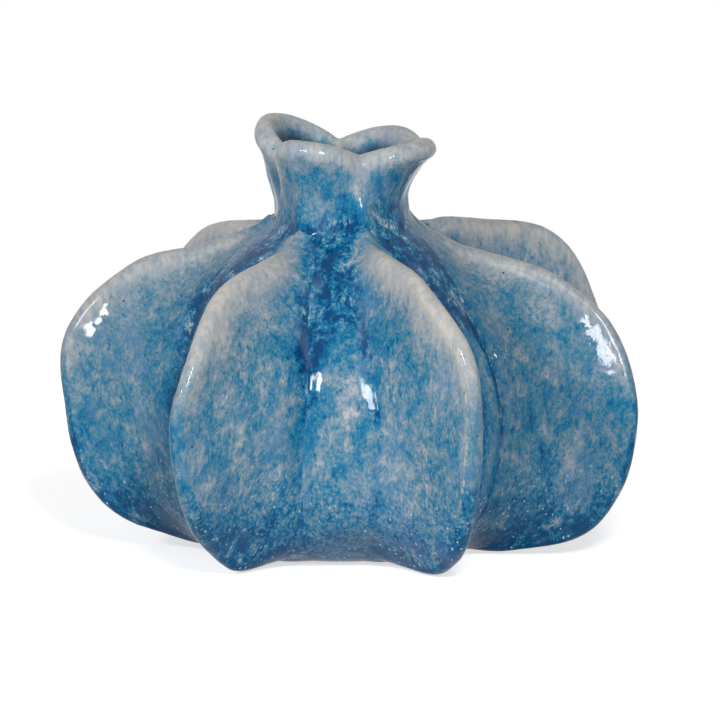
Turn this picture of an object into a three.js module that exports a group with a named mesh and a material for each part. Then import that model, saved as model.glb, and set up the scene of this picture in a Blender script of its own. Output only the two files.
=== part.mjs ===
// Hand-built stoneware bud vase: a hollow pot with a lobed mouth and seven upright wings.
// Millimetres, +Z up, origin on the standing face under the axis of the pot.
// Azimuth 0 faces -Y and grows towards +X.
import * as THREE from 'three';

// Pot: outside profile, from the standing face up to the throat
const baseRadius = 20;
const bellyRadius = 51;
const bellyHeight = 34;
const bellyRise = 22;
const undersideFullness = 0.8;
const shoulderRise = 50;
const collarFlare = 2.8;
const collarSlopeRun = 14;
const collarSlopeDrop = 9;
const throatRadius = 17.2;
const throatRise = 7;

// Clay thickness, and the slip left between pieces that are pressed together
const floorThickness = 6;
const bellyWall = 5.5;
const neckWall = 4.8;
const slip = 0.35;
const seatBevel = 2.5;

// Mouth: the rim where it dips, the four lobes pushed out of it and the folds pinched in between
const lipFlare = 1;
const lipRise = 14.6;
const lipThickness = 6;
const lipSeatRise = 7;
const throatRun = 3.5;
const flareRun = 3.5;
const flareTurn = 112;
const lobeReach = 6;
const lobeRise = 4;
const lobes = [
  { azimuth: -112, spread: 40, reach: 1, rise: 2 },
  { azimuth: -67, spread: 15, reach: -0.87, rise: -0.4 },
  { azimuth: -38, spread: 27, reach: 0.9, rise: 1 },
  { azimuth: 76, spread: 30, reach: 1.23, rise: 0.7 },
  { azimuth: 104, spread: 10, reach: -0.3, rise: -0.3 },
  { azimuth: 134, spread: 32, reach: 0.87, rise: 0.95 },
];

// Wings: each stands proud of the pot along rays from a hub inside the wall, by shares of the
// full rise that are listed for its foot and for the angles of the stations. It leans round the pot
// from the angle leanFrom up, and its right and left faces are hollowed by the shares given.
const wingRise = 30;
const hubLift = 6;
const footLift = 3.2;
const footRound = 2;
const footThickness = 9;
const footSpread = 30;
const footHollow = 0.3;
const wingThickness = 4.8;
const crestThickness = 7.5;
const crestFrom = 45;
const crestFull = 80;
const wingEdgeRound = 1;
const wingRootEdge = 1;
const wingRootFullness = 1.6;
const rootShare = 0.7;
const rootPull = 0.6;
const edgePull = 0.5;
const stations = [-55, -32, -5, 20, 45, 65, 86];
const wings = [
  {
    name: 'wing_front_left',
    azimuth: -32,
    lean: 0,
    leanFrom: 0,
    hollow: { right: 0.45, left: 0.9 },
    rise: [0.12, 0.36, 0.64, 0.96, 0.92, 0.64, 0.33, 0.1],
  },
  {
    name: 'wing_front_right',
    azimuth: 28,
    lean: -10,
    leanFrom: 0,
    hollow: { right: 0.9, left: 0.45 },
    rise: [0.12, 0.39, 0.68, 0.86, 0.86, 0.67, 0.36, 0.1],
  },
  {
    name: 'wing_right',
    azimuth: 75,
    lean: 17,
    leanFrom: -60,
    hollow: { right: 0.9, left: 0.9 },
    rise: [0.12, 0.29, 0.76, 0.94, 0.84, 0.53, 0.25, 0.09],
  },
  {
    name: 'wing_back_right',
    azimuth: 118,
    lean: 0,
    leanFrom: 0,
    hollow: { right: 0.7, left: 0.9 },
    rise: [0.12, 0.33, 0.69, 0.99, 1.04, 0.87, 0.47, 0.09],
  },
  {
    name: 'wing_back',
    azimuth: 170,
    lean: 0,
    leanFrom: 0,
    hollow: { right: 0.7, left: 0.7 },
    rise: [0.12, 0.33, 0.67, 0.87, 0.83, 0.63, 0.33, 0.09],
  },
  {
    name: 'wing_back_left',
    azimuth: 222,
    lean: 0,
    leanFrom: 0,
    hollow: { right: 0.7, left: 0.7 },
    rise: [0.12, 0.33, 0.67, 0.87, 0.87, 0.72, 0.43, 0.11],
  },
  {
    name: 'wing_left',
    azimuth: 277,
    lean: -17,
    leanFrom: -60,
    hollow: { right: 0.9, left: 0.7 },
    rise: [0.09, 0.19, 0.51, 0.68, 0.83, 0.6, 0.3, 0.09],
  },
];

// How finely the round surfaces are stepped
const profileSteps = 8;
const turnSteps = 52;
const rimSteps = 60;
const rimArcSteps = 5;
const mouthSteps = 4;
const wingRows = 17;
const faceSteps = 5;
const rootSteps = 6;
const raySteps = 90;

const collarRadius = throatRadius + collarFlare;
const collarHeight = bellyHeight + shoulderRise;
const throatHeight = collarHeight + throatRise;
const lipRadius = throatRadius + lipFlare;
const lipHeight = throatHeight + lipRise;

const radians = THREE.MathUtils.degToRad;
const degrees = THREE.MathUtils.radToDeg;

function glazed(colour, roughness) {
  return new THREE.MeshStandardMaterial({ color: colour, roughness, metalness: 0 });
}

function placed(radius, height, azimuth) {
  const turn = radians(azimuth);
  return new THREE.Vector3(radius * Math.sin(turn), -radius * Math.cos(turn), height);
}

// Joins a row of point loops into one closed solid: round into a ring, or capped at both ends.
function loft(loops, isRing) {
  const size = loops[0].length;
  const positions = loops.flat().flatMap((point) => [point.x, point.y, point.z]);
  const index = [];
  const spans = isRing ? loops.length : loops.length - 1;
  for (let row = 0; row < spans; row += 1) {
    const here = row * size;
    const there = ((row + 1) % loops.length) * size;
    for (let column = 0; column < size; column += 1) {
      const next = (column + 1) % size;
      index.push(here + column, there + column, there + next);
      index.push(here + column, there + next, here + next);
    }
  }
  if (!isRing) {
    addCap(positions, index, loops[0], 0, true);
    addCap(positions, index, loops[loops.length - 1], (loops.length - 1) * size, false);
  }
  const geometry = new THREE.BufferGeometry();
  geometry.setAttribute('position', new THREE.Float32BufferAttribute(positions, 3));
  geometry.setIndex(index);
  geometry.computeVertexNormals();
  return geometry;
}

// Closes one end of a loft with a fan round the middle of its loop.
function addCap(positions, index, loop, first, isStart) {
  const middle = new THREE.Vector3();
  loop.forEach((point) => middle.addScaledVector(point, 1 / loop.length));
  const centre = positions.length / 3;
  positions.push(middle.x, middle.y, middle.z);
  for (let column = 0; column < loop.length; column += 1) {
    const here = first + column;
    const next = first + ((column + 1) % loop.length);
    index.push(...(isStart ? [centre, here, next] : [centre, next, here]));
  }
}

function turned(profile) {
  const geometry = new THREE.LatheGeometry(profile, turnSteps);
  geometry.rotateX(Math.PI / 2);
  return geometry;
}

// Outside of the lower belly: a full, flat-bottomed quarter curve from the base to the widest line
function lowerOutside(share) {
  const turn = share * Math.PI / 2;
  const radius = baseRadius + (bellyRadius - baseRadius) * Math.sin(turn);
  const drop = Math.max(Math.cos(turn), 0) ** undersideFullness;
  return new THREE.Vector2(radius, bellyHeight * (1 - drop));
}

const shoulderCurve = new THREE.CubicBezierCurve(
  new THREE.Vector2(bellyRadius, bellyHeight),
  new THREE.Vector2(bellyRadius, bellyHeight + bellyRise),
  new THREE.Vector2(collarRadius + collarSlopeRun, collarHeight - collarSlopeDrop),
  new THREE.Vector2(collarRadius, collarHeight),
);

// The collar leaves the shoulder along its slope and turns upright at the throat.
const collarBend = (throatHeight - collarHeight) / 3;
const collarCurve = new THREE.CubicBezierCurve(
  new THREE.Vector2(collarRadius, collarHeight),
  new THREE.Vector2((collarRadius + throatRadius) / 2, collarHeight + collarBend / 2),
  new THREE.Vector2(throatRadius, throatHeight - collarBend),
  new THREE.Vector2(throatRadius, throatHeight),
);

function inward(point, tangent, depth) {
  return new THREE.Vector2(point.x - tangent.y * depth, point.y + tangent.x * depth);
}

function range(count) {
  return Array.from({ length: count + 1 }, (unused, step) => step / count);
}

function lowerInside(share) {
  const near = 0.001;
  const low = Math.max(share - near, 0);
  const high = Math.min(share + near, 1);
  const tangent = lowerOutside(high).sub(lowerOutside(low)).normalize();
  return inward(lowerOutside(share), tangent, THREE.MathUtils.lerp(floorThickness, bellyWall, share));
}

const shares = range(profileSteps);
const shoulderOutside = shares.map((share) => shoulderCurve.getPoint(share));
const shoulderInside = shares.map((share) => {
  const depth = THREE.MathUtils.lerp(bellyWall, neckWall, share);
  return inward(shoulderCurve.getPoint(share), shoulderCurve.getTangent(share), depth);
});
const collarOutside = shares.map((share) => collarCurve.getPoint(share));
const collarInside = shares.map((share) => (
  inward(collarCurve.getPoint(share), collarCurve.getTangent(share), neckWall)
));

function raised(point, lift) {
  return new THREE.Vector2(point.x, point.y + lift);
}

function closed(profile) {
  return [...profile, profile[0].clone()];
}

// Floor disc: a slab whose bevelled edge seats in the lower belly
function floorDisc() {
  const seatRadius = baseRadius - slip;
  return turned([
    new THREE.Vector2(0, 0),
    new THREE.Vector2(seatRadius, 0),
    new THREE.Vector2(seatRadius + seatBevel, floorThickness),
    new THREE.Vector2(0, floorThickness),
  ]);
}

// Lower belly: its rim slopes up inwards, so that the upper half is centred on it
function bellyLower() {
  const seatTop = baseRadius + seatBevel;
  const outside = shares.map(lowerOutside);
  const inside = shares.map(lowerInside).filter((point) => point.x > seatTop);
  const rimInside = new THREE.Vector2(bellyRadius - bellyWall, bellyHeight + seatBevel);
  return turned(closed([
    ...outside,
    rimInside,
    ...inside.reverse(),
    new THREE.Vector2(seatTop, floorThickness),
  ]));
}

// Upper belly: seated on the lower half's sloped rim, open at the collar for the neck
function bellyUpper() {
  const rimInside = new THREE.Vector2(bellyRadius - bellyWall, bellyHeight + seatBevel + slip);
  const inside = shoulderInside.filter((point) => point.y > rimInside.y + seatBevel);
  return turned(closed([
    raised(shoulderOutside[0], slip),
    ...shoulderOutside.slice(1),
    ...inside.reverse(),
    rimInside,
  ]));
}

function rimAt(azimuth) {
  const rim = { reach: lipRadius, height: lipHeight };
  lobes.forEach((lobe) => {
    const turn = THREE.MathUtils.euclideanModulo(azimuth - lobe.azimuth + 180, 360) - 180;
    const swell = Math.exp(-((turn / lobe.spread) ** 2));
    rim.reach += lobe.reach * lobeReach * swell;
    rim.height += lobe.rise * lobeRise * swell;
  });
  return rim;
}

// Wall of the mouth at one azimuth: two curves from the throat out to a round rim
function mouthWall(azimuth) {
  const rim = rimAt(azimuth);
  const half = lipThickness / 2;
  const flare = radians(flareTurn * (rim.reach - throatRadius) / throatRadius);
  const along = new THREE.Vector2(Math.sin(flare), Math.cos(flare));
  const across = new THREE.Vector2(along.y, -along.x);
  const centre = new THREE.Vector2(rim.reach - half, rim.height - half);
  const wallCurve = (radius, side) => {
    const start = new THREE.Vector2(radius, throatHeight);
    const end = centre.clone().addScaledVector(across, side * half);
    return new THREE.CubicBezierCurve(
      start,
      raised(start, throatRun),
      end.clone().addScaledVector(along, -flareRun),
      end,
    );
  };
  const arc = range(rimArcSteps).map((share) => {
    const turn = share * Math.PI;
    return centre.clone()
      .addScaledVector(across, half * Math.cos(turn))
      .addScaledVector(along, half * Math.sin(turn));
  });
  return { outside: wallCurve(throatRadius, 1), inside: wallCurve(throatRadius - neckWall, -1), arc };
}

function stretch(curve, from, to, steps) {
  return range(steps).map((share) => curve.getPointAt(THREE.MathUtils.lerp(from, to, share)));
}

function around(sectionAt) {
  const loops = range(rimSteps).slice(0, -1).map((share) => {
    const azimuth = share * 360;
    return sectionAt(azimuth).map((point) => placed(point.x, point.y, azimuth));
  });
  return loft(loops, true);
}

// Neck: a plug whose sloped foot seats in the shoulder, with the lip seated on its top
function neckCollar() {
  return around((azimuth) => {
    const wall = mouthWall(azimuth);
    const outsideTop = lipSeatRise / wall.outside.getLength();
    const insideTop = lipSeatRise / wall.inside.getLength();
    return [
      raised(collarOutside[0], slip),
      ...collarOutside.slice(1, -1),
      ...stretch(wall.outside, 0, outsideTop, mouthSteps),
      ...stretch(wall.inside, insideTop, 0, mouthSteps),
      ...collarInside.slice(1, -1).reverse(),
      raised(collarInside[0], slip),
    ];
  });
}

function mouthLip() {
  return around((azimuth) => {
    const wall = mouthWall(azimuth);
    const outsideFoot = (lipSeatRise + slip) / wall.outside.getLength();
    const insideFoot = (lipSeatRise + slip) / wall.inside.getLength();
    return [
      ...stretch(wall.outside, outsideFoot, 1, mouthSteps),
      ...wall.arc.slice(1, -1),
      ...stretch(wall.inside, 1, insideFoot, mouthSteps),
    ];
  });
}

// Outside of the pot as a distance from the hub, read off its profile by angle
const hub = new THREE.Vector2(collarRadius, bellyHeight + hubLift);
const potRays = [...range(raySteps).map(lowerOutside), ...shoulderCurve.getPoints(raySteps).slice(1)]
  .map((point) => point.clone().sub(hub))
  .map((ray) => ({ angle: degrees(Math.atan2(ray.y, ray.x)), reach: ray.length(), height: hub.y + ray.y }));

function potReach(angle) {
  const above = potRays.findIndex((ray, step) => step > 0 && ray.angle >= angle);
  const high = potRays[above];
  const low = potRays[above - 1];
  const share = (angle - low.angle) / (high.angle - low.angle);
  return THREE.MathUtils.lerp(low.reach, high.reach, share);
}

// A wing starts where the underside of the pot has lifted clear of the table.
const footAngle = potRays.find((ray) => ray.height > footLift).angle;
const topAngle = stations[stations.length - 1];
const places = [footAngle, ...stations];

// A smooth curve through a wing's rises at its foot and stations
function riseAt(wing, angle) {
  const rises = wing.rise.map((share) => share * wingRise);
  const last = places.length - 1;
  const place = Math.max(places.findIndex((station) => station >= angle), 1);
  const slope = (step) => {
    const before = Math.max(step - 1, 0);
    const after = Math.min(step + 1, last);
    return (rises[after] - rises[before]) / (places[after] - places[before]);
  };
  const span = places[place] - places[place - 1];
  const share = (angle - places[place - 1]) / span;
  const square = share * share;
  const cube = square * share;
  const value = (1 - 3 * square + 2 * cube) * rises[place - 1] + (3 * square - 2 * cube) * rises[place];
  const bend = (cube - 2 * square + share) * slope(place - 1) + (cube - square) * slope(place);
  return value + span * bend;
}

// The wing's edge follows its rise, and is trimmed flat where it stands on the table.
function crestReach(wing, angle) {
  const free = potReach(angle) + riseAt(wing, angle);
  if (angle >= 0) {
    return free;
  }
  const table = hub.y / Math.sin(radians(-angle));
  const blend = Math.max(footRound - Math.abs(free - table), 0) / footRound;
  return Math.min(free, table) - blend * blend * footRound / 4;
}

function azimuthAt(wing, angle) {
  return wing.azimuth + wing.lean * THREE.MathUtils.smoothstep(angle, wing.leanFrom, topAngle);
}

// The roots reach over a share of half the gap to each neighbour.
function rootAngles(step, angle) {
  const before = wings[(step + wings.length - 1) % wings.length];
  const after = wings[(step + 1) % wings.length];
  const gap = (from, to) => (
    THREE.MathUtils.euclideanModulo(azimuthAt(to, angle) - azimuthAt(from, angle), 360)
  );
  return {
    left: rootShare * gap(before, wings[step]) / 2,
    right: rootShare * gap(wings[step], after) / 2,
  };
}

// A point of a wing: sideways from its middle plane, out from the axis, and up, turned to its azimuth
function onWing(point, azimuth) {
  const turn = radians(azimuth);
  return new THREE.Vector3(
    point.y * Math.sin(turn) + point.x * Math.cos(turn),
    point.x * Math.sin(turn) - point.y * Math.cos(turn),
    point.z,
  );
}

function swung(point, swing) {
  const turn = radians(swing);
  return new THREE.Vector3(point.x * Math.sin(turn), point.x * Math.cos(turn), point.y);
}

// One face of a wing: leaves the pot along its skin and bends out to a corner of the edge, drawn back
// towards a straight line where it is less hollow
function wingFace(skin, corner, lateral, rootTurn, hollow) {
  const side = Math.sign(rootTurn);
  const start = swung(skin, rootTurn);
  const bend = new THREE.Vector3(side * lateral * wingRootFullness, skin.x, skin.y);
  const end = new THREE.Vector3(side * lateral, corner.x, corner.y);
  const nearRoot = start.clone().lerp(end, 1 / 3).lerp(start.clone().lerp(bend, rootPull), hollow);
  const nearEdge = start.clone().lerp(end, 2 / 3).lerp(end.clone().lerp(bend, edgePull), hollow);
  return new THREE.CubicBezierCurve3(start, nearRoot, nearEdge, end).getPoints(faceSteps);
}

// Wing: hollow faces that rise from the pot to a rounded edge, thickest at the foot and along the crest
function wingSolid(step) {
  const wing = wings[step];
  const loops = range(wingRows).map((share) => {
    const angle = THREE.MathUtils.lerp(footAngle, topAngle, share);
    const roots = rootAngles(step, angle);
    const ray = new THREE.Vector2(Math.cos(radians(angle)), Math.sin(radians(angle)));
    const along = (reach) => hub.clone().addScaledVector(ray, reach);
    const root = along(potReach(angle) + slip);
    const skin = along(potReach(angle) + slip + wingRootEdge);
    const edge = along(crestReach(wing, angle));
    const corner = along(crestReach(wing, angle) - wingEdgeRound);
    const spread = THREE.MathUtils.smoothstep(footAngle + footSpread - angle, 0, footSpread);
    const top = THREE.MathUtils.smoothstep(angle, crestFrom, crestFull);
    const slab = THREE.MathUtils.lerp(wingThickness, footThickness, spread);
    const lateral = THREE.MathUtils.lerp(slab, crestThickness, top) / 2;
    const hollow = (full) => THREE.MathUtils.lerp(full, Math.min(full, footHollow), spread);
    const rootArc = range(rootSteps).map((part) => (
      swung(root, THREE.MathUtils.lerp(-roots.left, roots.right, part))
    ));
    const loop = [
      ...wingFace(skin, corner, lateral, roots.right, hollow(wing.hollow.right)),
      new THREE.Vector3(0, edge.x, edge.y),
      ...wingFace(skin, corner, lateral, -roots.left, hollow(wing.hollow.left)).reverse(),
      ...rootArc,
    ];
    return loop.map((point) => onWing(point, azimuthAt(wing, angle)));
  });
  return loft(loops, false);
}

const vase = new THREE.Group();

function addPiece(name, geometry, material) {
  const piece = new THREE.Mesh(geometry, material);
  piece.name = name;
  vase.add(piece);
}

addPiece('floor_disc', floorDisc(), glazed(0xb9a58b, 0.85));
addPiece('belly_lower', bellyLower(), glazed(0x4a78a6, 0.18));
addPiece('belly_upper', bellyUpper(), glazed(0x5583b0, 0.18));
addPiece('neck_collar', neckCollar(), glazed(0x4f82b4, 0.18));
addPiece('mouth_lip', mouthLip(), glazed(0x8fabc4, 0.18));
wings.forEach((wing, step) => addPiece(wing.name, wingSolid(step), glazed(0x6f97bd, 0.18)));

export default vase;
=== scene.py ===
import bpy
import numpy as np
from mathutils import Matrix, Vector


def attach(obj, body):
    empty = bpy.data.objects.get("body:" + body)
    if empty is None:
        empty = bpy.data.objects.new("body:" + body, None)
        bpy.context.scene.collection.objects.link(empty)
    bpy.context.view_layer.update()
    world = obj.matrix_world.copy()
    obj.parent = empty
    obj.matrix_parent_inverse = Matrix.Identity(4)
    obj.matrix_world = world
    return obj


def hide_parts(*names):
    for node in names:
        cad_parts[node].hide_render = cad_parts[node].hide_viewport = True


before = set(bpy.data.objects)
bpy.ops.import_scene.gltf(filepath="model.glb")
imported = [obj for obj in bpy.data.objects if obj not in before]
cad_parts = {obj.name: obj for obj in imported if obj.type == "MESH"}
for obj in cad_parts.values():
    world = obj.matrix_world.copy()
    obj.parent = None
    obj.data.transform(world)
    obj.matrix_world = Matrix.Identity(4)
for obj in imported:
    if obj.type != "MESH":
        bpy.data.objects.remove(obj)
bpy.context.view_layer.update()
metre = 0.001  # the shapes below are worked out in millimetres
print("frame loaded:", len(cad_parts), "clay pieces")

# Azimuth 0 faces -Y, where the camera stands, and grows towards +X.
# Heights are from the table, radii from the axis of the pot.

pot = {
    "baseRadius": 20.0,
    "bellyRadius": 51.0,
    "bellyHeight": 34.0,
    "bellyRise": 22.0,
    "undersideFullness": 0.8,
    "collarRadius": 20.0,
    "collarHeight": 84.0,
    "collarSlope": (14.0, 9.0),
    "throatRadius": 17.2,
    "throatHeight": 91.0,
    "floorThickness": 6.0,
    "bellyWall": 5.5,
    "neckWall": 4.8,
    "seatBevel": 2.5,
    "tuck": 1.2,  # how far a piece runs on under its neighbour at a joint
    "tuckDepth": 0.3,
    "tuckRows": 4,
    "hubLift": 6.0,  # how far above the widest line the wings' rays start
    "columns": 460,
    "outsideRows": 96,
    "insideRows": 22,
    "lineRows": 600,
}


def smoothstep(value, low, high):
    # 0 below low, 1 above high, and 3t^2 - 2t^3 between them
    share = np.clip((value - low) / (high - low), 0, 1)
    return share * share * (3 - 2 * share)


def lerp(low, high, share):
    # straight from low at 0 to high at 1
    return low + (high - low) * share


def eased(value, first, last, low, high):
    # first where the value is low, last where it is high, and a smooth step between them
    return lerp(first, last, smoothstep(value, low, high))


def between(value, growing, fading):
    # grows by one smooth step and fades by another
    return smoothstep(value, *growing) * (1 - smoothstep(value, *fading))


def bell(distance, width, power=2):
    # e to the minus (distance / width)^power
    return np.exp(-((distance / width) ** power))


def bezier(first, second, third, last, share):
    # corners weighed by (1-t)^3, 3t(1-t)^2, 3t^2(1-t) and t^3
    t = np.asarray(share)[..., None]
    rest = 1 - t
    return first * rest**3 + second * 3 * t * rest**2 + third * 3 * t**2 * rest + last * t**3


def lowerOutside(share):
    # a quarter turn t: radius by sin t, height by 1 - cos^0.8 t, so that the underside is full
    turn = np.asarray(share) * np.pi / 2
    radius = pot["baseRadius"] + (pot["bellyRadius"] - pot["baseRadius"]) * np.sin(turn)
    height = pot["bellyHeight"] * (1 - np.clip(np.cos(turn), 0, 1) ** pot["undersideFullness"])
    return np.stack([radius, height], -1)


def shoulderOutside(share):
    # one Bezier from the widest line, upright there, over to the collar
    run, drop = pot["collarSlope"]
    widest = np.array([pot["bellyRadius"], pot["bellyHeight"]])
    collar = np.array([pot["collarRadius"], pot["collarHeight"]])
    return bezier(widest, widest + [0, pot["bellyRise"]], collar + [run, -drop], collar, share)


def collarOutside(share):
    # one Bezier that leaves the shoulder along its slope and turns upright at the throat
    collar = np.array([pot["collarRadius"], pot["collarHeight"]])
    throat = np.array([pot["throatRadius"], pot["throatHeight"]])
    bend = (throat[1] - collar[1]) / 3
    return bezier(collar, np.array([(collar[0] + throat[0]) / 2, collar[1] + bend / 2]),
                  throat - [0, bend], throat, share)


def inset(profile, depth):
    # each point moved inwards, square to the line, by the wall's thickness there
    along = np.gradient(profile, axis=0)
    along /= np.linalg.norm(along, axis=1, keepdims=True)
    return profile + np.stack([-along[:, 1], along[:, 0]], 1) * np.asarray(depth)[:, None]


# Outside of the pot seen from a hub inside the wall: angle, distance and height of a fine row of points
hub = np.array([pot["collarRadius"], pot["bellyHeight"] + pot["hubLift"]])
lineShare = np.linspace(0, 1, pot["lineRows"])
potLine = np.concatenate([lowerOutside(lineShare), shoulderOutside(lineShare)[1:]])
potRays = potLine - hub
potAngles = np.degrees(np.arctan2(potRays[:, 1], potRays[:, 0]))
potReaches = np.linalg.norm(potRays, axis=1)

wings = {
    "fullRise": 30,
    "footLift": 0.8,
    "footRound": 2,
    "thickness": 4.8,
    "footThickness": 9,
    "footSpread": 30,
    "topThickness": (7.5, 45, 72),  # with the angles between which it is reached
    "tipThickness": (2.4, 70, 98),
    "edgeCrown": (2, 3, 25, 65),  # at the sides and along the top, with the angles between them
    "crispCrown": 1.4,  # the front right wing's edge is flatter, with a crisp corner
    "crownLimit": 0.6,
    "rootShares": (0.66, 0.42, 25, 70),  # low and at the top, with the angles between them
    "wideRootShare": 0.88,  # where the left and the right wing run out softly towards the front wings
    "rootShift": 1.85,  # degrees by which the bump between the front wings sits further right
    "rootFullness": 1.6,
    "rootPull": 0.6,
    "edgePull": 0.5,
    "rootSink": 0.12,
    "rootDepth": 1.4,
    "footHollow": 0.3,
    "follow": 0.3,  # share of a face over which it follows the grooves of the pot
    "seam": (1.1, 3, 1.8, (34, 44), (52, 66)),  # rise, place, width, heights it grows and fades at
    "neckSpan": 20,  # degrees that the crest's run up the collar counts for
    "neckJoin": 0.3,  # shares of that run by which it lies on the collar and has turned level
    "neckTurn": 0.8,
    "tipSink": 0.3,
    "rows": 250,
    "neckRows": 36,
    "neckLineRows": 40,
    "faceColumns": 66,
    "edgeColumns": 19,
    "rootColumns": 9,
    "stations": [-55, -32, -5, 20, 45, 65, 86],
    # azimuth of the foot, lean of the top and the angle it starts at, how hollow the right and left
    # faces are, and shares of the full rise from the foot up
    "wing_front_left": (-32, 0, 0, (0.45, 0.9), [0.12, 0.36, 0.64, 0.96, 0.92, 0.64, 0.33, 0.09]),
    "wing_front_right": (28, -10, 0, (0.9, 0.45), [0.12, 0.39, 0.68, 0.86, 0.86, 0.67, 0.36, 0.09]),
    "wing_right": (75, 17, -60, (0.9, 1.05), [0.12, 0.29, 0.76, 0.94, 0.84, 0.53, 0.25, 0.05]),
    "wing_back_right": (118, 0, 0, (0.7, 0.9), [0.12, 0.33, 0.69, 0.99, 1.04, 0.87, 0.47, 0.06]),
    "wing_back": (170, 0, 0, (0.7, 0.7), [0.12, 0.33, 0.67, 0.87, 0.83, 0.63, 0.33, 0.09]),
    "wing_back_left": (222, 0, 0, (0.7, 0.7), [0.12, 0.33, 0.67, 0.87, 0.87, 0.72, 0.43, 0.11]),
    "wing_left": (277, -17, -60, (0.9, 0.7), [0.09, 0.19, 0.51, 0.68, 0.83, 0.60, 0.30, 0.12]),
}
wingNames = [name for name in wings if name.startswith("wing_")]
footAngle = potAngles[np.argmax(potLine[:, 1] > wings["footLift"])]
places = np.array([footAngle] + wings["stations"])


def wingAzimuth(name, angle):
    # a wing leans to one side by a smooth step on its way up
    azimuth, lean, leanFrom = wings[name][:3]
    return azimuth + lean * smoothstep(angle, leanFrom, places[-1])


def rootTurns(name, angle):
    # the roots reach over a share of half the gap to each neighbour
    step = wingNames.index(name)
    here = wingAzimuth(name, angle)
    before = (here - wingAzimuth(wingNames[step - 1], angle)) % 360
    after = (wingAzimuth(wingNames[(step + 1) % len(wingNames)], angle) - here) % 360
    share = eased(angle, *wings["rootShares"])
    left, right = share * before / 2, share * after / 2
    frontShare = wings["rootShares"][0]
    if name == "wing_front_left":
        right = frontShare * after / 2 + wings["rootShift"]
    if name == "wing_front_right":
        left = frontShare * before / 2 - wings["rootShift"]
    if name == "wing_right":
        left = wings["wideRootShare"] * before / 2
    if name == "wing_left":
        right = wings["wideRootShare"] * after / 2
    return left, right


valleys = {
    # how far the skin sinks at the root on its left and on its right
    "cushion": (1, 1),
    "frontCushion": (0, 0.4),
    # between the two front wings it rises to the right, first steeply and then less
    "frontSlopes": (0.31, 0.09),
    "frontTurn": (-0.85, 0.25),
    "frontLift": 0.5,
    "press": (1.6, (34, 58), (62, 82)),  # how deep the valleys lie, heights they sink and rise at
    "rootFade": 4,
    "grooveWidths": (3.2, 1.5),
    "ribPlace": 0.2,
    "ribWidth": 0.35,
    "ribFoot": (34, 48),
    "footFade": (3, 16),
    "topFade": (58, 72),
}


def frontRamp(share):
    # a steep slope that turns into a gentle one by a smooth step, summed up from the middle
    steep, gentle = valleys["frontSlopes"]
    start, end = valleys["frontTurn"]
    step = np.clip((share - start) / (end - start), 0, 1)
    turned = (end - start) * (step**3 - step**4 / 2) + np.clip(share - end, 0, None)
    return steep * share + (gentle - steep) * turned


def skinShift(azimuth, height):
    # between two wings the skin is a cushion that sinks to each root by the fourth power of the way
    # there; past the root it comes back as a bell curve, and all of it fades out at foot and top;
    # gives the shift, how near a groove is and how near the rib between two wings is
    angle = np.interp(height, potLine[:, 1], potAngles)
    radius = np.interp(height, potLine[:, 1], potLine[:, 0])
    depth, sinking, rising = valleys["press"]
    press = depth * between(height, sinking, rising)
    shift = np.zeros(np.broadcast(azimuth, height).shape)
    groove, rib, pressed = np.zeros_like(shift), np.zeros_like(shift), np.zeros_like(shift)
    leftWidth, rightWidth = valleys["grooveWidths"]
    for step, name in enumerate(wingNames):
        after = wingNames[(step + 1) % len(wingNames)]
        start = wingAzimuth(name, angle) + rootTurns(name, angle)[1]
        gap = (wingAzimuth(after, angle) - rootTurns(after, angle)[0] - start) % 360
        half = np.radians(gap / 2) * radius
        side = np.radians((azimuth - start - gap / 2 + 180) % 360 - 180) * radius
        share = np.clip(side / half, -1, 1)
        past = np.abs(side) - half
        isFront = name == "wing_front_left"
        left, right = valleys["frontCushion" if isFront else "cushion"]
        ramp = frontRamp(share) if isFront else 0.0
        lift = valleys["frontLift"] if isFront else 0.0
        sunk = np.where(share < 0, left, right) * share**4
        back = bell(np.clip(past, 0, None), valleys["rootFade"])
        shift += (ramp * half - sunk + lift) * back
        pressed = np.maximum(pressed, press * back)
        groove = np.maximum(groove, bell(past, np.where(share < 0, leftWidth, rightWidth)))
        rib = np.maximum(rib, bell(share - valleys["ribPlace"], valleys["ribWidth"]) * (past < 0))
    rib = rib * smoothstep(height, *valleys["ribFoot"])
    fade = between(height, valleys["footFade"], valleys["topFade"])
    return shift * fade - pressed, groove * fade, rib * fade


handwork = {
    "warp": (11, 26, 60, 0.55),  # seed, shortest and longest wave, spread in millimetres
    "dents": (23, 9, 20, 0.045),
    "warpWaves": 48,
    "stillFoot": 9,
    "relief": (37, 2.6, 6, 0.016),
    "grain": (41, 1.3, 2.4, 0.006),
    "reliefWaves": 64,
    "smoothFoot": 3,
}


def waves(points, keys, outputs, count):
    # for each key a sum of sine waves of seeded headings, lengths and phases
    total = np.zeros((len(points), outputs))
    for key in keys:
        seed, shortest, longest, spread = handwork[key]
        draw = np.random.default_rng(seed)
        heading = draw.normal(size=(count, 3))
        heading /= np.linalg.norm(heading, axis=1, keepdims=True)
        length = np.exp(draw.uniform(np.log(shortest), np.log(longest), count))
        phase = draw.uniform(0, 2 * np.pi, count)
        weight = draw.normal(size=(count, outputs)) / np.sqrt(count / 2)
        total += spread * (np.sin(points @ (heading * (2 * np.pi / length)[:, None]).T + phase) @ weight)
    return total


def worked(points):
    # the same soft warp moves every piece, so that joints stay shut; it dies out towards the table
    still = smoothstep(points[:, 2], 0, handwork["stillFoot"])[:, None]
    moved = points + still * waves(points, ("warp", "dents"), 3, handwork["warpWaves"])
    moved[:, 2] = np.maximum(moved[:, 2], 0)
    return moved


def glazeRelief(points, normals):
    # the glaze surface rises and falls along the normal by two finer sums of waves
    still = smoothstep(points[:, 2], 0, handwork["smoothFoot"])[:, None]
    return points + normals * still * waves(points, ("relief", "grain"), 1, handwork["reliefWaves"])


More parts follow.
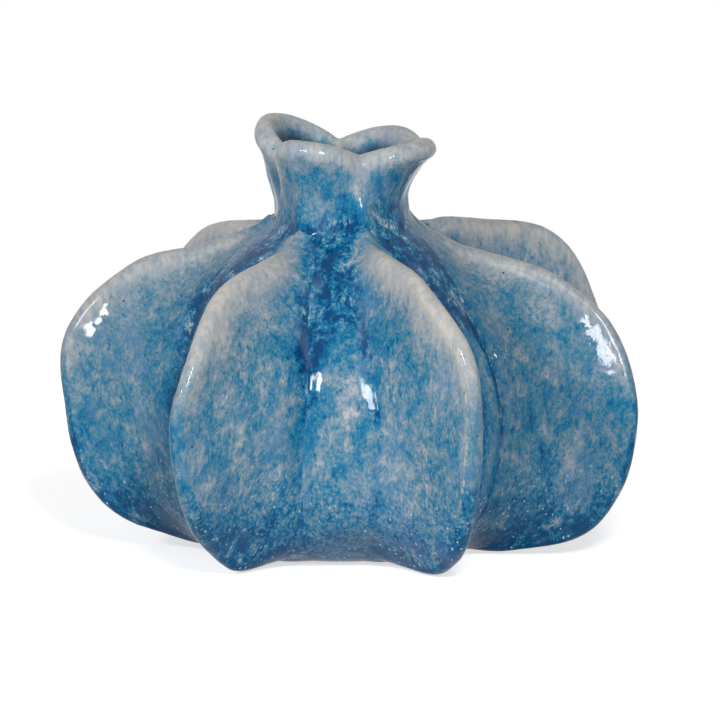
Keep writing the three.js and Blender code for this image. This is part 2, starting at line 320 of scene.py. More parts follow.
def gridFaces(rows, columns, isRing):
    # quads between neighbouring rows; columns always close, rows only in a ring
    here = np.arange(rows if isRing else rows - 1)[:, None] * columns
    there = ((np.arange(here.shape[0]) + 1) % rows)[:, None] * columns
    column = np.arange(columns)[None, :]
    after = (column + 1) % columns
    return np.stack([here + column, there + column, there + after, here + after], -1).reshape(-1, 4)


def capFaces(first, columns, centre, isStart):
    # a fan of triangles from the centre to each edge of a row
    here = first + np.arange(columns)
    after = first + (np.arange(columns) + 1) % columns
    middle = np.full(columns, centre)
    return np.stack([middle, here, after] if isStart else [middle, after, here], -1)


def enclosed(points, triangles):
    # six times the volume: the sum of every triangle's triple product
    a, b, c = (points[triangles[:, corner]] for corner in range(3))
    return np.einsum("ij,ij->", a, np.cross(b, c))


def placed(name, data):
    made = bpy.data.objects.new(name, data)
    bpy.context.scene.collection.objects.link(made)
    return made


def makePiece(name, grid, isRing, looks, materialName="mottled_blue_glaze"):
    # rows that don't close into a ring are shut by a fan at each end
    rows, columns = grid.shape[:2]
    points = grid.reshape(-1, 3)
    looks = {key: np.broadcast_to(value, (rows, columns)).reshape(-1) for key, value in looks.items()}
    quads = gridFaces(rows, columns, isRing)
    caps = np.zeros((0, 3), int)
    if not isRing:
        ends = np.stack([grid[0].mean(0), grid[-1].mean(0)])
        looks = {key: np.append(value, [value[:columns].mean(), value[-columns:].mean()])
                 for key, value in looks.items()}
        points = np.concatenate([points, ends])
        caps = np.concatenate([capFaces(0, columns, rows * columns, True),
                               capFaces((rows - 1) * columns, columns, rows * columns + 1, False)])
    triangles = np.concatenate([quads[:, :3], quads[:, [0, 2, 3]], caps])
    if enclosed(points, triangles) < 0:
        quads, caps = quads[:, ::-1], caps[:, ::-1]
    points = worked(points)
    mesh = bpy.data.meshes.new(name + "_clay")
    mesh.from_pydata((points * metre).tolist(), [], quads.tolist() + caps.tolist())
    mesh.update()
    normals = np.zeros(len(points) * 3, np.float32)
    mesh.vertices.foreach_get("normal", normals)
    points = glazeRelief(points, normals.reshape(-1, 3))
    mesh.vertices.foreach_set("co", (points * metre).astype(np.float32).ravel())

    # the glaze pattern lies in flow coordinates, sheared where the glaze ran down at a slant
    flow = points.copy()
    flow[:, 0] += looks.pop("lean", 0.0) * points[:, 2]
    flowData = mesh.attributes.new("flow", "FLOAT_VECTOR", "POINT").data
    flowData.foreach_set("vector", flow.astype(np.float32).ravel())
    for key, value in looks.items():
        mesh.attributes.new(key, "FLOAT", "POINT").data.foreach_set("value", value.astype(np.float32))
    mesh.polygons.foreach_set("use_smooth", np.ones(len(mesh.polygons), bool))
    mesh.update()
    piece = placed(name + "_glazed", mesh)
    mesh.materials.append(bpy.data.materials[materialName])
    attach(piece, "root")
    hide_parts(name)
    print("made", piece.name, "with", len(triangles), "triangles")


def turnedOut(radius, height, azimuth):
    # x = r sin a, y = -r cos a
    turn = np.radians(azimuth)
    return np.stack(np.broadcast_arrays(radius * np.sin(turn), -radius * np.cos(turn), height), -1)


print("functions ready")

glaze = {
    # width and height of the largest spot in millimetres, noise detail, and how strong finer spots are
    "mottle": ((6.5, 9), 4, 0.95),
    "windows": ((1.3, 2.8), 2, 0.6),
    "hues": ((9, 15), 2, 0.6),
    "streaks": ((1.6, 6), 2, 0.6),  # where the pale crests run out downwards
    "flecks": ((0.8, 1.1), 2, 0.6),
    "distortion": 0.1,
    # how much each of them adds to the thickness of the glaze, and the noise levels it comes in between
    "plainThickness": 0.38,
    "mottleWeight": 1.75,
    "windowWeight": 0.2,
    "windowEdge": (0.55, 0.70),
    "fleckWeight": 0.19,
    "fleckEdge": (0.38, 0.60),
    "fleckPatches": (0.4, 0.6, 0.5, 1.5),  # levels of the mottling, and the share of flecks there
    "poolWeight": 0.45,
    "poolLife": (1.5, 0.5, 1.1),  # how much livelier pools are mottled, and the pools it comes in between
    "bareWeight": 0.39,
    "bareCalm": 0.75,
    "streakRange": (0.3, 0.7, 0.75, 1.2),
    # how thick the glaze lies, and the colour it shows there in 0 to 255
    "tones": [
        (0.00, (190, 185, 178)),
        (0.12, (172, 174, 174)),
        (0.25, (146, 157, 164)),
        (0.36, (119, 142, 157)),
        (0.48, (86, 127, 149)),
        (0.60, (48, 116, 148)),
        (0.72, (12, 105, 146)),
        (0.84, (0, 89, 134)),
        (1.00, (0, 61, 105)),
    ],
    "lavender": (0.2, (136, 148, 180)),  # share in patches, colour
    "hueEdge": (0.5, 0.7),
    "footTint": (0.2, (0, 108, 152)),  # share where the crystals are thickest, colour
    # tan where the glaze breaks on edges, and on the front right wing's corner partly a painted glint
    "ridgeTanAndGlintColour": (196, 182, 158),
    "ridgeEdge": (0.5, 0.6),
    "paintedShadeColour": (50, 56, 58),  # painted shade: a dark grey laid over the glaze in the throat and beside the right wing's root, and a little of it greying the side wings' faces
    "crystalsAndSparkles": ((1.3, 1.9), 0.27, (170, 200, 214)),  # pale crystals and painted sparkle: cell in millimetres, radius in cells, colour
    "crystalAndSparkleSizes": (0.4, 1.2),
    "crystalAndSparkleChance": (0.5, 0.55),
    "pinholes": ((6, 8), 0.06, (58, 60, 54)),
    "spotEdge": 0.5,  # share of the radius at which the crystal and sparkle spots and the pinholes are at their fullest
    "roughness": 0.035,
    "dullRoughness": 0.35,
    "gloss": 0.13,
    "footGloss": (0.03, 1, 11),  # gloss at the very foot, and the heights between which it grows
    # strength and millimetres of the finest relief
    "orangePeel": (0.15, 0.1),
    "pinholeDepth": 1.2,
    "pebbles": (0.4, 0.5),
    "crystalRelief": (0.9, 0.1),
}


def linear(colour):
    # 0 to 255 screen levels to linear light
    level = np.array(colour) / 255
    return (*np.where(level <= 0.04045, level / 12.92, ((level + 0.055) / 1.055) ** 2.4), 1.0)


def setInputs(tree, node, inputs):
    # an input is another node's output or a fixed value
    for key, value in inputs.items():
        if isinstance(value, bpy.types.NodeSocket):
            tree.links.new(value, node.inputs[key])
        else:
            node.inputs[key].default_value = value


def addNode(tree, kind, inputs, **settings):
    made = tree.nodes.new(kind)
    for key, value in settings.items():
        setattr(made, key, value)
    setInputs(tree, made, inputs)
    return made


def maths(tree, operation, *values):
    return addNode(tree, "ShaderNodeMath", dict(enumerate(values)), operation=operation).outputs[0]


def scaledAdd(tree, value, weight, rest):
    return maths(tree, "MULTIPLY_ADD", value, weight, rest)


def times(tree, first, second):
    return maths(tree, "MULTIPLY", first, second)


def ranged(tree, value, low, high, toLow=0.0, toHigh=1.0):
    return addNode(tree, "ShaderNodeMapRange", {"Value": value, "From Min": low, "From Max": high,
                   "To Min": toLow, "To Max": toHigh}, interpolation_type="SMOOTHSTEP").outputs["Result"]


def surfaceValue(tree, name):
    # a mesh attribute, or 0 on a piece without it
    return addNode(tree, "ShaderNodeAttribute", {}, attribute_name=name).outputs["Fac"]


def flowPlace(tree):
    place = tree.nodes.get("flow")
    if not place:
        place = addNode(tree, "ShaderNodeAttribute", {}, name="flow", attribute_name="flow")
    return place.outputs["Vector"]


def sizedPlace(tree, size):
    # the flow coordinates, scaled so that one unit is as wide and as tall as given
    wide, tall = size
    return addNode(tree, "ShaderNodeMapping", {"Vector": flowPlace(tree),
                   "Scale": (1 / wide, 1 / wide, 1 / tall)}).outputs["Vector"]


def sizedNoise(tree, size, detail, roughness):
    return addNode(tree, "ShaderNodeTexNoise", {
        "Vector": sizedPlace(tree, size), "Scale": 1.0, "Detail": detail, "Roughness": roughness,
        "Distortion": glaze["distortion"]}).outputs["Fac"]


def sizedCells(tree, size):
    return addNode(tree, "ShaderNodeTexVoronoi", {"Vector": sizedPlace(tree, size), "Scale": 1.0})


def mixed(tree, share, first, second):
    # a mix node's colours are its inputs 6 and 7, and its output 2
    return addNode(tree, "ShaderNodeMix", {"Factor": share, 6: first, 7: second}, data_type="RGBA").outputs[2]


def bumped(tree, height, strength, depth, **under):
    return addNode(tree, "ShaderNodeBump", {"Height": height, "Strength": strength, "Distance": depth * metre,
                   **under}).outputs["Normal"]


def newMaterial(name):
    material = bpy.data.materials.new(name)
    material.use_nodes = True
    return material.node_tree, material.node_tree.nodes["Principled BSDF"]


def glazeThickness(tree, noise, crystal):
    # more in pools, less on crests, broken up by mottling, windows, flecks at the foot and streaks
    pool = surfaceValue(tree, "pool")
    bareness = surfaceValue(tree, "bare")
    spots = scaledAdd(tree, noise["mottle"], glaze["mottleWeight"], -0.5 * glaze["mottleWeight"])
    window = ranged(tree, noise["windows"], *glaze["windowEdge"])
    spots = scaledAdd(tree, window, glaze["windowWeight"], spots)
    calm = scaledAdd(tree, bareness, -glaze["bareCalm"], 1.0)
    life, low, high = glaze["poolLife"]
    calm = scaledAdd(tree, ranged(tree, pool, low, high), life, calm)
    thickness = scaledAdd(tree, spots, calm, glaze["plainThickness"])
    fleck = ranged(tree, noise["flecks"], *glaze["fleckEdge"], -glaze["fleckWeight"], glaze["fleckWeight"])
    patchy = times(tree, crystal, ranged(tree, noise["mottle"], *glaze["fleckPatches"]))
    thickness = scaledAdd(tree, fleck, patchy, thickness)
    thickness = scaledAdd(tree, pool, glaze["poolWeight"], thickness)
    streaked = times(tree, bareness, ranged(tree, noise["streaks"], *glaze["streakRange"]))
    return scaledAdd(tree, streaked, -glaze["bareWeight"], thickness)


def toneAt(tree, thickness):
    tones = addNode(tree, "ShaderNodeValToRGB", {"Fac": thickness})
    stops = tones.color_ramp.elements
    for step, (place, colour) in enumerate(glaze["tones"]):
        stop = stops[step] if step < 2 else stops.new(place)
        stop.position = place
        stop.color = linear(colour)
    return tones.outputs["Color"]


def crystalAndSparkleSpots(tree, crystal):
    # a pale disc in the middle of some cells, of a size drawn for each cell: partly crystals and partly
    # painted sparkle
    cell, radius = glaze["crystalsAndSparkles"][:2]
    cells = sizedCells(tree, cell)
    drawn = addNode(tree, "ShaderNodeSeparateColor", {"Color": cells.outputs["Color"]}).outputs
    size = ranged(tree, drawn[1], 0.0, 1.0, *glaze["crystalAndSparkleSizes"])
    grown = maths(tree, "DIVIDE", cells.outputs["Distance"], size)
    disc = ranged(tree, grown, radius, radius * glaze["spotEdge"])
    return times(tree, times(tree, disc, ranged(tree, drawn[0], *glaze["crystalAndSparkleChance"])), crystal)


def makeGlaze():
    tree, shader = newMaterial("mottled_blue_glaze")
    noise = {key: sizedNoise(tree, *glaze[key]) for key in ("mottle", "windows", "hues", "streaks", "flecks")}
    crystal = surfaceValue(tree, "crystal")
    spark = crystalAndSparkleSpots(tree, crystal)
    cell, radius, holeColour = glaze["pinholes"]
    hole = ranged(tree, sizedCells(tree, cell).outputs["Distance"], radius, radius * glaze["spotEdge"])

    # colours laid over the tone that the thickness gives
    colour = toneAt(tree, glazeThickness(tree, noise, crystal))
    patches = ranged(tree, noise["hues"], *glaze["hueEdge"])
    broken = ranged(tree, noise["windows"], *glaze["ridgeEdge"])
    for share, over in (
        (times(tree, patches, glaze["lavender"][0]), glaze["lavender"][1]),
        (times(tree, crystal, glaze["footTint"][0]), glaze["footTint"][1]),
        # tan glaze break, on the front right wing's corner partly a painted glint
        (times(tree, surfaceValue(tree, "ridge"), broken), glaze["ridgeTanAndGlintColour"]),
        # pale spots, partly crystals and partly painted sparkle
        (spark, glaze["crystalsAndSparkles"][2]),
        (hole, holeColour),
        # painted shade, in the throat and beside some roots
        (surfaceValue(tree, "paintedShade"), glaze["paintedShadeColour"]),
    ):
        colour = mixed(tree, share, colour, linear(over))

    peel = bumped(tree, scaledAdd(tree, hole, -glaze["pinholeDepth"], noise["mottle"]), *glaze["orangePeel"])
    pebbles = bumped(tree, times(tree, noise["flecks"], crystal), *glaze["pebbles"], Normal=peel)
    lowest, start, end = glaze["footGloss"]
    height = addNode(tree, "ShaderNodeSeparateXYZ", {"Vector": flowPlace(tree)}).outputs["Z"]
    setInputs(tree, shader, {
        "Base Color": colour,
        "Normal": bumped(tree, spark, *glaze["crystalRelief"], Normal=pebbles),
        "Roughness": scaledAdd(tree, surfaceValue(tree, "dull"), glaze["dullRoughness"], glaze["roughness"]),
        "Specular IOR Level": ranged(tree, height, start, end, lowest, glaze["gloss"]),
    })


bareClay = {
    "patches": ((9, 9), 3, 0.6),
    "patchEdge": (0.3, 0.7),
    "patchColours": ((176, 150, 118), (206, 186, 158)),
    "grit": ((0.7, 0.7), 4, 0.6),
    "gritEdge": (0.62, 0.72),
    "gritColour": (122, 96, 72),
    "gritRelief": (0.4, 0.2),
    "roughness": 0.85,
    "gloss": 0.2,
}


def makeBareClay():
    tree, shader = newMaterial("bare_stoneware")
    grit = sizedNoise(tree, *bareClay["grit"])
    patches = ranged(tree, sizedNoise(tree, *bareClay["patches"]), *bareClay["patchEdge"])
    dark, pale = bareClay["patchColours"]
    colour = mixed(tree, patches, linear(dark), linear(pale))
    colour = mixed(tree, ranged(tree, grit, *bareClay["gritEdge"]), colour, linear(bareClay["gritColour"]))
    setInputs(tree, shader, {
        "Base Color": colour,
        "Normal": bumped(tree, grit, *bareClay["gritRelief"]),
        "Roughness": bareClay["roughness"],
        "Specular IOR Level": bareClay["gloss"],
    })


makeGlaze()
makeBareClay()
print("glaze and bare clay mixed")


def tucked(profile, atStart, atEnd):
    # runs a wall on past its joint, along its own slope and dipping inwards as the square of the run
    share = np.linspace(0, 1, pot["tuckRows"] + 1)[1:, None]

    def past(last, before, side):
        along = (last - before) / np.linalg.norm(last - before)
        inwards = side * np.array([-along[1], along[0]])
        return last + along * share * pot["tuck"] + inwards * share**2 * pot["tuckDepth"]

    start = [past(profile[0], profile[1], -1)[::-1]] if atStart else []
    end = [past(profile[-1], profile[-2], 1)] if atEnd else []
    return np.concatenate(start + [profile] + end)


pools = {
    # how much thicker the glaze lies, with the heights between which it changes
    "plain": 0.18,
    "foot": [(0.55, 0, 2, 22), (0.35, 0, 0, 4)],
    "valley": (0, 0.68, 48, 70),
    "groove": (0.25, 0.65, 28, 46),
    "rib": 0.25,  # thinner by that
    "side": (0, 0.3, 26, 40),  # by degrees from the middle of the front valley
    "frontMiddle": -2,
    "crystalsAndSparkles": (1, 0.06, 6, 36),  # how many crystals and painted sparkles there are
}


def footLooks(height):
    # the glaze runs down: it pools in the lowest part and carries more crystals and painted sparkle there
    return sum(eased(height, *fade) for fade in pools["foot"]), eased(height, *pools["crystalsAndSparkles"])


def skinLooks(grid):
    # between the wings the glaze pools along the grooves and deepest in the upper valley
    x, y, height = np.moveaxis(grid, -1, 0)
    azimuth = np.degrees(np.arctan2(x, -y))
    groove, rib = skinShift(azimuth, height)[1:]
    footPool, crystal = footLooks(height)
    side = eased(np.abs(azimuth - pools["frontMiddle"]), *pools["side"])
    seams = eased(height, *pools["groove"]) * groove - pools["rib"] * rib
    pool = pools["plain"] + eased(height, *pools["valley"]) + seams + side + footPool
    return {"pool": pool, "crystal": crystal}


def makeBelly():
    # a profile turned about the axis, its outside swelling between the wings
    azimuth = np.linspace(0, 360, pot["columns"], endpoint=False)[:, None]
    fine = np.linspace(0, 1, pot["outsideRows"])
    coarse = np.linspace(0, 1, pot["insideRows"])
    lower = lowerOutside(fine)
    lowerInside = inset(lowerOutside(coarse), lerp(pot["floorThickness"], pot["bellyWall"], coarse))
    seatTop = pot["baseRadius"] + pot["seatBevel"]
    lowerInside = lowerInside[lowerInside[:, 0] > seatTop]
    upper = shoulderOutside(fine)
    upperInside = inset(shoulderOutside(coarse), lerp(pot["bellyWall"], pot["neckWall"], coarse))
    for name, outside, inside in (
        ("belly_lower", tucked(lower, False, True),
         np.concatenate([lowerInside[::-1], [[seatTop, pot["floorThickness"]]]])),
        ("belly_upper", tucked(upper, True, True), upperInside[::-1]),
    ):
        shift = skinShift(azimuth, outside[None, :, 1])[0]
        outer = turnedOut(outside[None, :, 0] + shift, outside[None, :, 1], azimuth)
        inner = turnedOut(inside[None, :, 0], inside[None, :, 1], azimuth)
        grid = np.concatenate([outer, inner], 1)
        makePiece(name, grid, True, skinLooks(grid))


floorDisc = {
    "rimGap": 0.2,
    "middle": 0.3,  # radius of the small fans that close the two faces
    "underRows": 24,
    "bevelRows": 10,
    "topRows": 16,
    "columns": 180,
}


def makeFloor():
    # a bevelled disc: rings from the middle of the underside round to the middle of the top
    azimuth = np.linspace(0, 360, floorDisc["columns"], endpoint=False)[None, :]
    rim = pot["baseRadius"] - floorDisc["rimGap"]
    topRim, thickness, middle = rim + pot["seatBevel"], pot["floorThickness"], floorDisc["middle"]
    under = np.linspace([middle, 0], [rim, 0], floorDisc["underRows"])
    bevel = np.linspace([rim, 0], [topRim, thickness], floorDisc["bevelRows"])[1:]
    top = np.linspace([topRim, thickness], [middle, thickness], floorDisc["topRows"])[1:]
    profile = np.concatenate([under, bevel, top])
    grid = turnedOut(profile[:, None, 0], profile[:, None, 1], azimuth)
    makePiece("floor_disc", grid, False, {}, "bare_stoneware")


mouth = {
    "lipThickness": 6,
    "throatRun": 3.5,
    "flareRun": 3.5,
    "flareTurn": 112,
    "seatShare": 0.46,
    "seatOverlap": 0.07,
    "columns": 420,
    "wallRows": 44,
    "rollRows": 26,
    "insideRows": 30,
    # azimuth, reach and height of the rim at every notch and at the lobe after it
    "rim": [(-67, 16.4, 104.8), (-34, 23.4, 109.3), (18, 18, 105.2), (68, 25.4, 109),
            (103, 22.4, 107), (138, 23.2, 109), (180, 18, 106.2), (236, 24.3, 113.4)],
    "lobeFullness": 0.8,
    "notchRound": 0.14,
    # height of the neck's ribs, spread in degrees, heights they grow and fade at
    "ribs": (0.9, 9, (85, 91), (97, 105)),
    "frontRibs": (1.5, 15, (83, 88), (90, 97)),
    # how the glaze lies, by millimetres below the rim or, at the collar, by height
    "bareReach": (7.2, 4.2),  # outside and inside
    "outsidePool": (0.35, 0.6, 2, 9),
    # down the throat the inside pool deepens and the throat shade darkens to grey: painted shade
    "insidePoolAndShade": (0.3, 1.2, 3, 9),
    "collarPool": (0.5, 0, 84, 95),
    "ribPool": 0.35,
    "throatShade": (0, 0.9, 3, 7),
    "crystal": 0.12,
}


def rimAt(azimuth):
    # from every notch the rim swells to the lobes beside it as a quarter of a sine wave, which leaves
    # the notch creased; the crease itself is rounded as a hyperbola
    points = np.array(mouth["rim"] + [(mouth["rim"][0][0] + 360,) + mouth["rim"][0][1:]], float)
    around = (azimuth - points[0, 0]) % 360 + points[0, 0]
    place = np.clip(np.searchsorted(points[:, 0], around, side="right") - 1, 0, len(points) - 2)
    share = (around - points[place, 0]) / (points[place + 1, 0] - points[place, 0])
    isRising = place % 2 == 0
    way = np.where(isRising, share, 1 - share)
    soft = mouth["notchRound"]
    swell = np.sin(np.pi / 2 * (np.hypot(way, soft) - soft) / (np.hypot(1, soft) - soft))
    swell = swell ** mouth["lobeFullness"]
    swell = np.where(isRising, swell, 1 - swell)[:, None]
    return lerp(points[place, 1:], points[place + 1, 1:], swell).T


def mouthWall(azimuth):
    # two Beziers run from the throat to the rim, inside and outside, and a half turn joins them
    reach, height = rimAt(azimuth)
    half = mouth["lipThickness"] / 2
    flare = np.radians(mouth["flareTurn"] * (reach - pot["throatRadius"]) / pot["throatRadius"])
    along = np.stack([np.sin(flare), np.cos(flare)], -1)
    across = np.stack([along[..., 1], -along[..., 0]], -1)
    centre = np.stack([reach - half, height - half], -1)

    def wall(radius, side, share):
        start = np.array([radius, pot["throatHeight"]])
        end = centre + across * side * half
        return bezier(start, start + [0, mouth["throatRun"]], (end - along * mouth["flareRun"])[:, None],
                      end[:, None], share[None, :])

    def roll(share):
        turn = share[None, :, None] * np.pi
        return centre[:, None] + half * (across[:, None] * np.cos(turn) + along[:, None] * np.sin(turn))

    return wall, roll


def neckRibs(azimuth, height, key, names):
    # above the wings the neck carries soft ribs: bell curves round the neck
    rise, spread, growing, fading = mouth[key]
    shape = np.zeros(np.broadcast(azimuth, height).shape)
    for name in names:
        turn = (azimuth - wingAzimuth(name, places[-1]) + 180) % 360 - 180
        shape = shape + bell(turn, spread)
    return rise * shape * between(height, growing, fading)


def mouthSections(azimuth):
    # the neck and the lip share two walls and overlap at their seat: name, section, rows on the outside
    wall, roll = mouthWall(azimuth)
    seat, overlap = mouth["seatShare"], mouth["seatOverlap"]
    fine = np.linspace(0, 1, mouth["wallRows"])
    coarse = np.linspace(0, 1, mouth["insideRows"])
    outerRadius = pot["throatRadius"]
    innerRadius = outerRadius - pot["neckWall"]

    def allRound(profile):
        return np.broadcast_to(profile, (len(azimuth),) + profile.shape)

    def sunk(profile, share, limit):
        # the run past the seat dips into the wall
        depth = np.clip((share - limit) / overlap, 0, 1) ** 2 * pot["tuckDepth"]
        return profile - np.stack([depth, depth * 0], -1)[None]

    collar = tucked(collarOutside(fine), True, False)[:-1]
    collarInside = inset(collarOutside(coarse), np.full(coarse.shape, pot["neckWall"]))[-2::-1]
    neckShare = fine * (seat + overlap)
    neckOutside = sunk(wall(outerRadius, 1, neckShare), neckShare, seat)
    neckOutside = np.concatenate([allRound(collar), neckOutside], 1)
    lipShare = lerp(seat - overlap, 1, fine)
    lipOutside = sunk(wall(outerRadius, 1, lipShare), -lipShare, -seat)
    for outside in (neckOutside, lipOutside):
        height = outside[..., 1]
        outside[..., 0] += neckRibs(azimuth[:, None], height, "ribs", wingNames)
        outside[..., 0] += neckRibs(azimuth[:, None], height, "frontRibs", wingNames[:2])
    neckInside = wall(innerRadius, -1, coarse[::-1] * seat)
    neck = np.concatenate([neckOutside, neckInside, allRound(collarInside)], 1)
    rollShare = np.linspace(0, 1, mouth["rollRows"])[1:-1]
    lipInside = wall(innerRadius, -1, lerp(1, seat - overlap, coarse))
    lip = np.concatenate([lipOutside, roll(rollShare), lipInside], 1)
    return (("neck_collar", neck, neckOutside.shape[1]),
            ("mouth_lip", lip, lipOutside.shape[1] + mouth["rollRows"] // 2))


def makeMouth():
    # the rim is thinly glazed and the glaze pools below it; down the throat shade is painted in, by a deeper
    # pool and a dark grey
    azimuth = np.linspace(0, 360, mouth["columns"], endpoint=False)
    sections = mouthSections(azimuth)
    top = sections[-1][1][..., 1].max(1)[:, None]
    outsideReach, insideReach = mouth["bareReach"]
    for name, section, outsideRows in sections:
        radius, height = np.moveaxis(section, -1, 0)
        fromTop = top - height
        isInside = np.arange(section.shape[1])[None, :] >= outsideRows
        rib = neckRibs(azimuth[:, None], height, "ribs", wingNames) / mouth["ribs"][0]
        pool = eased(fromTop, *mouth["outsidePool"]) + eased(height, *mouth["collarPool"])
        pool = pool - mouth["ribPool"] * rib
        makePiece(name, turnedOut(radius, height, azimuth[:, None]), True, {
            "pool": np.where(isInside, eased(fromTop, *mouth["insidePoolAndShade"]), pool),
            "bare": bell(fromTop, np.where(isInside, insideReach, outsideReach)),
            "crystal": mouth["crystal"],
            "dull": isInside * 1.0,
            # painted shade, darker down the throat
            "paintedShade": isInside * eased(fromTop, *mouth["throatShade"]),
        })


def pointing(degrees):
    return np.stack([np.cos(np.radians(degrees)), np.sin(np.radians(degrees))], -1)


def riseAt(name, angle):
    # a smooth cubic through the listed shares, with slopes taken from the neighbours on both sides
    shares = np.array(wings[name][4]) * wings["fullRise"]
    slopes = np.empty_like(shares)
    slopes[1:-1] = (shares[2:] - shares[:-2]) / (places[2:] - places[:-2])
    slopes[0] = (shares[1] - shares[0]) / (places[1] - places[0])
    slopes[-1] = (shares[-1] - shares[-2]) / (places[-1] - places[-2])
    place = np.clip(np.searchsorted(places, angle), 1, len(places) - 1)
    span = places[place] - places[place - 1]
    t = (angle - places[place - 1]) / span
    value = (1 - 3 * t**2 + 2 * t**3) * shares[place - 1] + (3 * t**2 - 2 * t**3) * shares[place]
    return value + span * ((t**3 - 2 * t**2 + t) * slopes[place - 1] + (t**3 - t**2) * slopes[place])


def wingSpine(name):
    # rows along the wing: a point on the pot, the way out from it, and how far the edge stands out;
    # rays from the hub first, then on up the collar while the crest dies away
    angle = np.linspace(footAngle, places[-1], wings["rows"])
    ray = pointing(angle)
    reach = np.interp(angle, potAngles, potReaches)
    free = reach + riseAt(name, angle)
    # rays that run down end at the table, and the corner there is rounded as a parabola
    table = np.where(angle < -1, hub[1] / np.sin(np.radians(np.clip(-angle, 1, 90))), np.inf)
    soft = wings["footRound"]
    edge = np.minimum(free, table) - (np.clip(soft - np.abs(free - table), 0, None) / soft) ** 2 * soft / 4
    skin = hub + ray * reach[:, None]
    share = np.linspace(0, 1, wings["neckRows"] + 1)[1:]
    climb = collarOutside(np.linspace(0, 1, wings["neckLineRows"]))
    length = np.concatenate([[0], np.cumsum(np.linalg.norm(np.diff(climb, axis=0), axis=1))])
    neckSkin = np.stack([np.interp(share * length[-1], length, climb[:, axis]) for axis in range(2)], -1)
    neckSkin = lerp(skin[-1], neckSkin, smoothstep(share, 0, wings["neckJoin"])[:, None])
    neckRay = pointing(eased(share, places[-1], 0, 0, wings["neckTurn"]))
    neckRise = (edge[-1] - reach[-1]) * (1 - smoothstep(share, 0, 1)) - wings["tipSink"] * share
    return (np.concatenate([angle, places[-1] + share * wings["neckSpan"]]), np.concatenate([skin, neckSkin]),
            np.concatenate([ray, neckRay]), np.concatenate([edge - reach, neckRise]))


def wingSections(name):
    # a closed section for each row of the spine: right face, edge, left face and root;
    # gives the rows' angles, the sections and how far out on a face each column is
    angle, skin, ray, rise = wingSpine(name)
    rootLeft, rootRight = rootTurns(name, angle)
    spread = smoothstep(footAngle + wings["footSpread"] - angle, 0, wings["footSpread"])
    lateral = lerp(wings["thickness"], wings["footThickness"], spread) / 2
    for thickness, start, end in (wings["topThickness"], wings["tipThickness"]):
        lateral = eased(angle, lateral, thickness / 2, start, end)
    sideCrown, topCrown, start, end = wings["edgeCrown"]
    if name == "wing_front_right":
        sideCrown = wings["crispCrown"]
    crown = eased(angle, sideCrown, topCrown, start, end)
    crown = np.clip(np.minimum(crown, rise * wings["crownLimit"]), 0, None)
    corner = skin + ray * (rise - crown)[:, None]
    share = np.linspace(0, 1, wings["faceColumns"])

    def face(side, turn, hollow):
        # a Bezier that leaves the skin along its own round and sweeps out to a corner of the edge,
        # drawn back towards a straight line where the face is less hollow, as at the foot
        turn = np.radians(turn)
        hollow = lerp(hollow, np.minimum(hollow, wings["footHollow"]), spread)[:, None]
        sunk = skin - ray * wings["rootSink"]
        start = np.stack([sunk[:, 0] * np.sin(side * turn), sunk[:, 0] * np.cos(side * turn), sunk[:, 1]], -1)
        bend = np.stack([side * lateral * wings["rootFullness"], skin[:, 0], skin[:, 1]], -1)
        end = np.stack([side * lateral, corner[:, 0], corner[:, 1]], -1)
        length = np.linalg.norm(bend - start, axis=1, keepdims=True)
        along = np.stack([-side * np.cos(turn), np.sin(turn), 0 * turn], -1)
        nearRoot = lerp(lerp(start, end, 1 / 3), start + along * length * wings["rootPull"], hollow)
        nearEdge = lerp(lerp(start, end, 2 / 3), lerp(end, bend, wings["edgePull"]), hollow)
        return bezier(start[:, None], nearRoot[:, None], nearEdge[:, None], end[:, None], share[None, :])

    def onwards(side):
        # past a face's corner along the face's own run; at 4/3 the edge stands out by its crown
        run = side[:, -1] - side[:, -2]
        return side[:, -1] + run / np.linalg.norm(run, axis=1, keepdims=True) * crown[:, None] * 4 / 3

    rightHollow, leftHollow = wings[name][3]
    rightFace = face(1, rootRight, rightHollow)
    leftFace = face(-1, rootLeft, leftHollow)
    sweep = np.linspace(0, 1, wings["edgeColumns"] + 2)[1:-1]
    edge = bezier(rightFace[:, -1:], onwards(rightFace)[:, None], onwards(leftFace)[:, None],
                  leftFace[:, -1:], sweep[None, :])
    turns = np.radians(np.linspace(-rootLeft, rootRight, wings["rootColumns"] + 2)[1:-1]).T
    deep = skin - ray * wings["rootDepth"]
    root = np.stack([deep[:, :1] * np.sin(turns), deep[:, :1] * np.cos(turns),
                     np.broadcast_to(deep[:, 1:], turns.shape)], -1)
    out = np.concatenate([share, np.ones(len(sweep)), share[::-1], np.zeros(turns.shape[1])])[None, :]
    return angle, np.concatenate([rightFace, edge, leftFace[:, ::-1], root], 1), out


